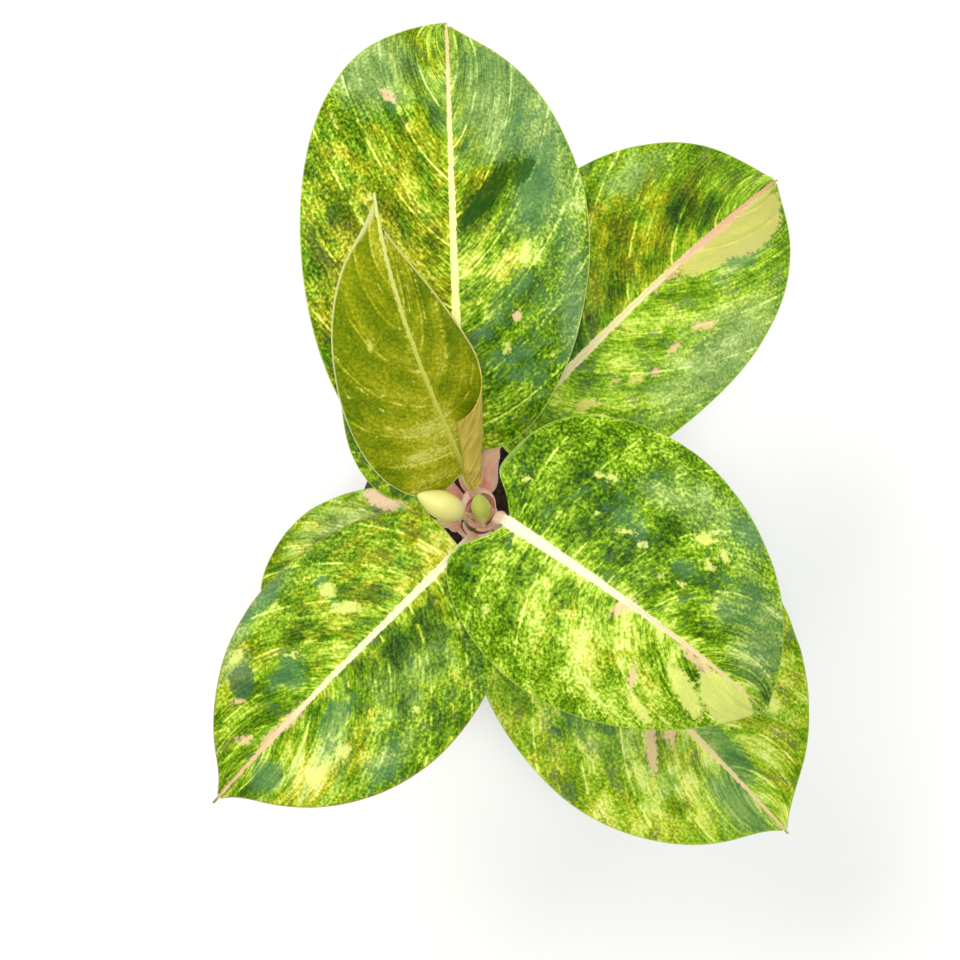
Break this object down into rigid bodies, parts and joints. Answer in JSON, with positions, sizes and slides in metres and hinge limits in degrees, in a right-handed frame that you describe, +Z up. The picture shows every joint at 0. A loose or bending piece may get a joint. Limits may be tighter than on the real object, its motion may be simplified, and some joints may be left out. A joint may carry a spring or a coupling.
{
  "type": "potted chinese evergreen",
  "caption": "Potted Chinese evergreen: large oval apple green mottled leaves on pink stalks round a short stem, a half rolled young leaf, pale buds, and a plain dark tapered pot of soil.",
  "frame": {"origin": "middle of the pot's flat base pad, on the pot's axis", "axes": "+Z up along the pot's axis, +Y towards the side that the largest leaf points to, +X to the right of it seen from above"},
  "size_m": [0.2915, 0.3861, 0.4023],
  "materials": {
    "pot": "matte",
    "soil": "matte",
    "stem": "satin",
    "leaf": "satin",
    "young_leaf": "satin",
    "bud": "satin"
  },
  "bodies": {
    "root": {"pot": "pot", "soil": "soil", "stem": "stem", "leaf_north": "leaf", "leaf_northeast": "leaf", "leaf_southeast": "leaf", "leaf_south": "leaf", "leaf_southwest": "leaf", "leaf_west": "leaf", "leaf_northwest": "leaf", "leaf_young": "young_leaf", "bud_west": "bud", "bud_south": "bud"}
  },
  "joints": []
}
